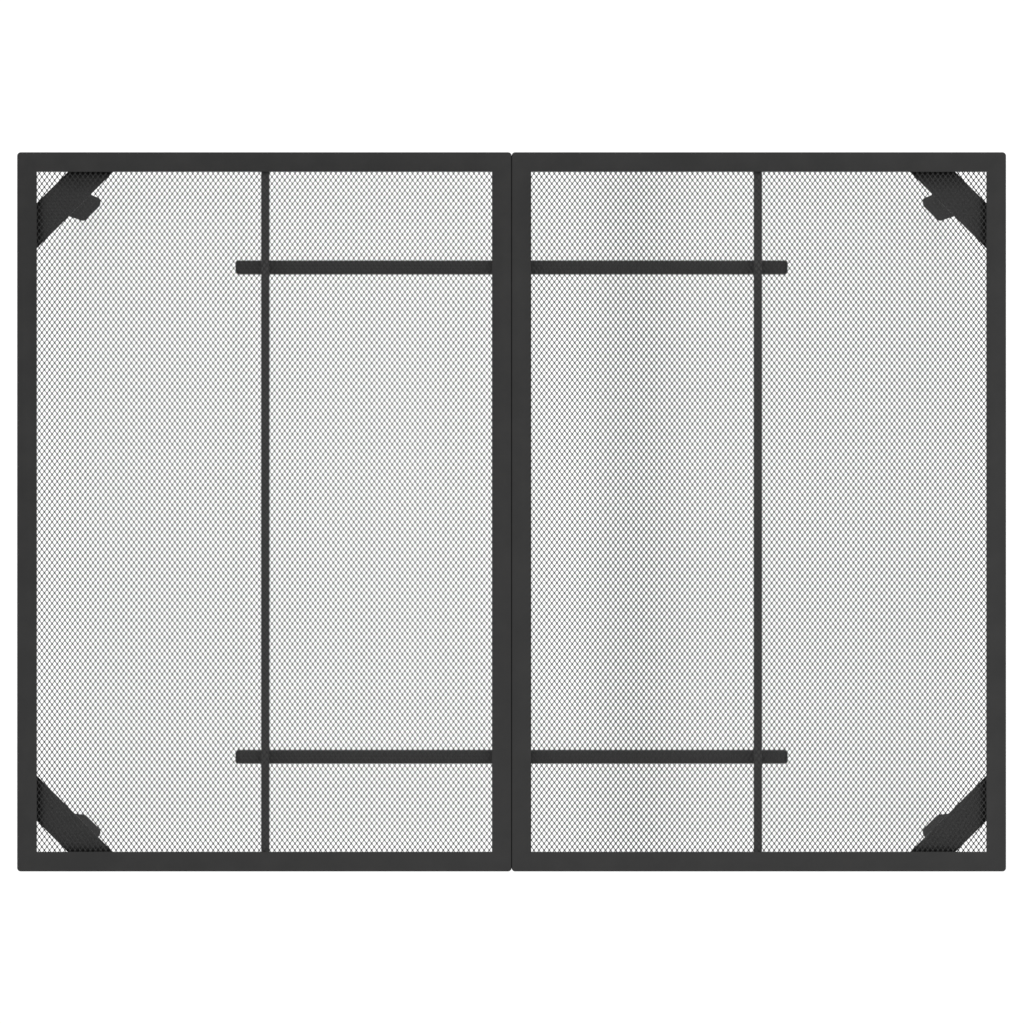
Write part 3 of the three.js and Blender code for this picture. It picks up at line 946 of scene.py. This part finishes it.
def tie_screws():
    """Pan heads with a hexagon socket, up through the tie bars into the mid bars."""
    radius, height = SCREW_HEAD
    head = rod("tie_screw", radius, -height, 0, 32)
    with editing(head):
        pick(head, "FACE", facing((0, 0, -1)))
        bpy.ops.mesh.bevel(offset=1.3 * MM, segments=5, affect="EDGES")
    cut(head, rod("socket", SOCKET[0], -2 * height, -height + SOCKET[1], 6), "DIFFERENCE")
    soften(head, width=0.1 * MM, segments=1)
    low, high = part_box("tie_screw_back_right")
    screw = join(head, [threaded("tie_screw_shank", high.z - low.z - height, SCREW_PLAIN_SHANK)])
    for corner in CORNERS:
        name = f"tie_screw_{corner}"
        place = middle(name)
        place.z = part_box(name)[0].z + height
        finish_piece(copied(screw, name, Matrix.Translation(place)), DARK_STEEL, "dark_steel", name)
    bpy.data.objects.remove(screw)


def seam_bolts():
    """The bolts and nuts through the two leaves that hang side by side at the seam."""
    low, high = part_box("panel_bolt_back")
    seat = low.x + HEX_HEAD[1]
    bolt = hex_bolt("panel_bolt", high.x - seat)
    nut_low, nut_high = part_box("panel_nut_back")
    height = nut_high.x - nut_low.x
    nut = rod("panel_nut", hex_corner(HEX_HEAD[0]), 0, height, 6)
    cut(nut, rod("bore", SHANK_RADIUS * 1.06, -height, 2 * height, 24), "DIFFERENCE")
    soften(nut, width=0.5 * MM)
    lying = Matrix.Rotation(math.pi / 2, 4, "Y")
    for end in ENDS:
        for piece, stem, start in ((bolt, "panel_bolt", seat), (nut, "panel_nut", nut_low.x)):
            name = f"{stem}_{end}"
            place = middle(name)
            place.x = start
            twin = copied(piece, name, Matrix.Translation(place) @ lying)
            finish_piece(twin, DARK_STEEL, "dark_steel", name)
    bpy.data.objects.remove(bolt)
    bpy.data.objects.remove(nut)


# ---- Camera, floor and light ----

CAMERA_PLACE = (0, -0.0536, 6.1)
CAMERA_LENS = 170.05
CAMERA_SHIFT = (0.0004, 0.0469)
FLOOR_TONE = 0.2
FLOOR_GLOW = 0.88
SKY_LIGHT = 0.8
SOFT_BOX_PLACE = (0.0, 3.6, 4.2)
SOFT_BOX_SIZE = 2.2
SOFT_BOX_POWER = 90


def camera():
    """Straight above the table and a little to its front, with the lens shifted back to the middle."""
    settings = bpy.data.cameras.new("camera")
    settings.lens = CAMERA_LENS
    settings.sensor_width = 36
    settings.shift_x, settings.shift_y = CAMERA_SHIFT
    seat = bpy.data.objects.new("camera", settings)
    seat.location = CAMERA_PLACE
    bpy.context.collection.objects.link(seat)
    bpy.context.scene.camera = seat


def floor():
    """A plain white floor that glows a little, as a lit studio sweep does, so that shadows stay soft."""
    bpy.ops.mesh.primitive_plane_add(size=60)
    piece = bpy.context.active_object
    piece.name = "floor"
    material = bpy.data.materials.new("floor")
    material.use_nodes = True
    shader = material.node_tree.nodes["Principled BSDF"]
    shader.inputs["Base Color"].default_value = grey(FLOOR_TONE)
    shader.inputs["Roughness"].default_value = 0.9
    shader.inputs["Specular IOR Level"].default_value = 0.0
    shader.inputs["Emission Color"].default_value = grey(1.0)
    shader.inputs["Emission Strength"].default_value = FLOOR_GLOW
    piece.data.materials.append(material)


def soft_box():
    """A square light behind the table that points at the middle of its top and stays out of every view."""
    settings = bpy.data.lights.new("soft_box", "AREA")
    settings.shape = "SQUARE"
    settings.size = SOFT_BOX_SIZE
    settings.energy = SOFT_BOX_POWER
    lamp = bpy.data.objects.new("soft_box", settings)
    lamp.location = SOFT_BOX_PLACE
    away = lamp.location - Vector((0, 0, TOP_CORNER.z))
    lamp.rotation_euler = away.to_track_quat("Z", "Y").to_euler()
    lamp.visible_camera = False
    bpy.context.collection.objects.link(lamp)


def world():
    """A white sky all round, which a view sees as plain white."""
    sky = bpy.data.worlds.new("studio")
    bpy.context.scene.world = sky
    sky.use_nodes = True
    tree = sky.node_tree
    tree.nodes.clear()
    seen = add_node(tree, "LightPath").outputs["Is Camera Ray"]
    strength = spread(tree, seen, 0.0, 1.0, SKY_LIGHT, 1.0)
    background = add_node(tree, "Background", {"Color": grey(1.0), "Strength": strength})
    output = tree.nodes.new("ShaderNodeOutputWorld")
    tree.links.new(background.outputs["Background"], output.inputs["Surface"])


camera()
floor()
world()
soft_box()
bpy.context.scene.view_settings.view_transform = "Standard"

# ---- Assembly ----

for side in SIDES:
    panel_frame(side)
    mid_bar(side)
expanded_metal()
for end in ENDS:
    tie_bar = f"{end}_tie_bar"
    finish_piece(square_tube(tie_bar, 0, TIE_BAR_CORNER), BAR_COAT_PAINTED_LIGHTER, "powder_coat", tie_bar)
    for side, x in SIDES.items():
        tie_plug(f"{end}_tie_plug_{side}", x)
corner_plate()
leg_plate()
leg()
foot_cap()
leg_bolts()
tie_screws()
seam_bolts()
